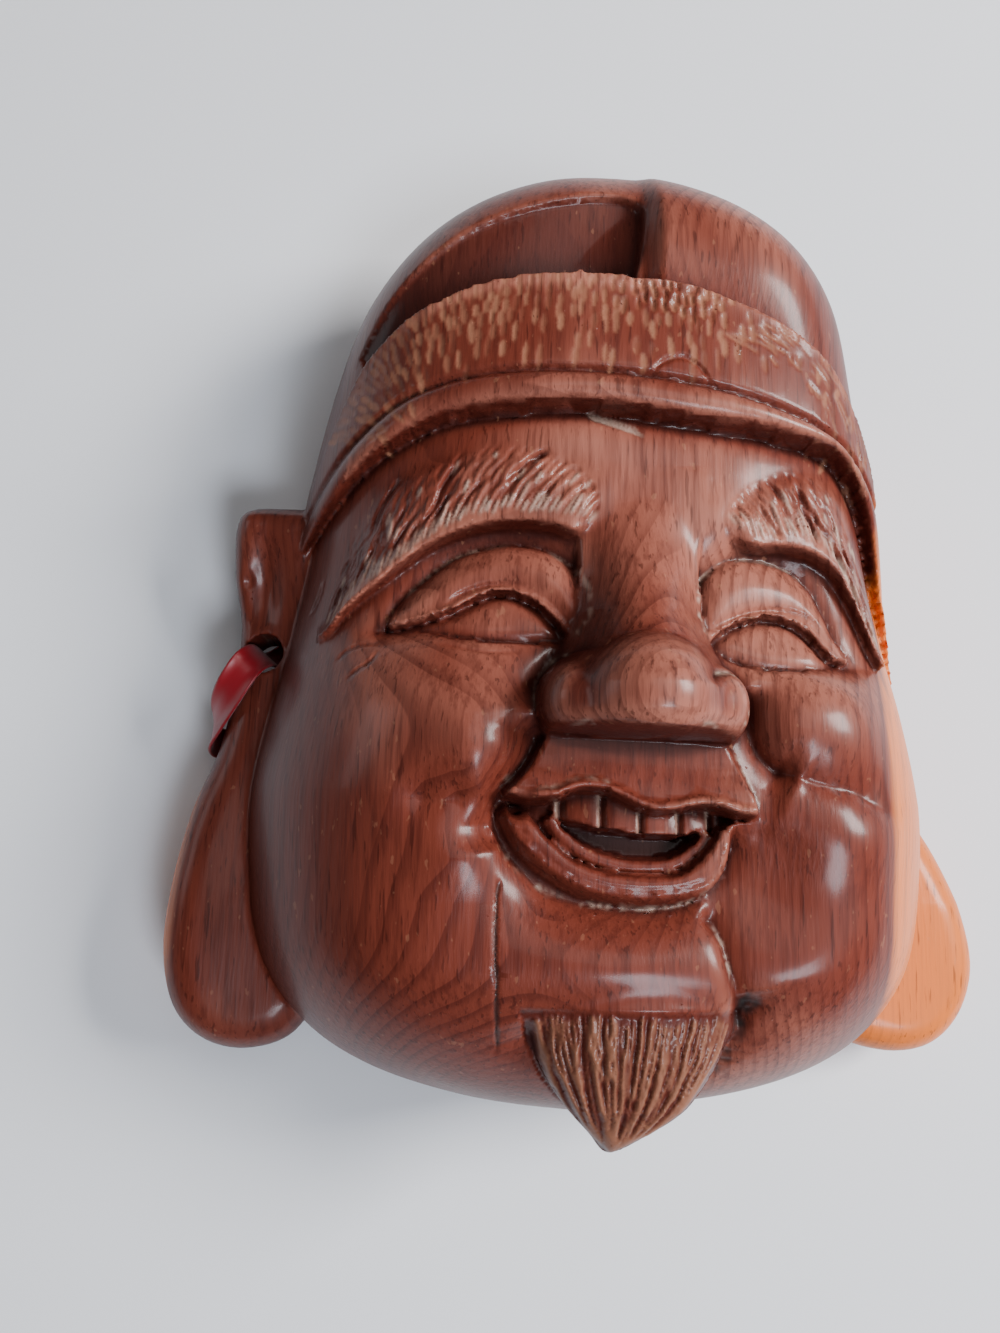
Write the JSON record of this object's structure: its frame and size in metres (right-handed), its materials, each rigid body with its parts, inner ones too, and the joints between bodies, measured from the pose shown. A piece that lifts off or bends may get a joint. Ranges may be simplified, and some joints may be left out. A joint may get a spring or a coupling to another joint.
{
  "type": "laughing folk god mask",
  "caption": "Carved wooden mask of a laughing folk god with a folded cap, long ear lobes and a tuft of beard, hollow at the back, with a red ribbon.",
  "frame": {"origin": "centre of the mask's outline on the plane that its flat back rests on", "axes": "+Z out of the face, +Y up the face to the cap, +X to the viewer's right"},
  "size_m": [0.1555, 0.1728, 0.0736],
  "materials": {
    "red_heartwood": "satin",
    "red_satin": "satin"
  },
  "bodies": {
    "root": {"carved_mask": "red_heartwood", "hanging_ribbon": "red_satin"}
  },
  "joints": []
}
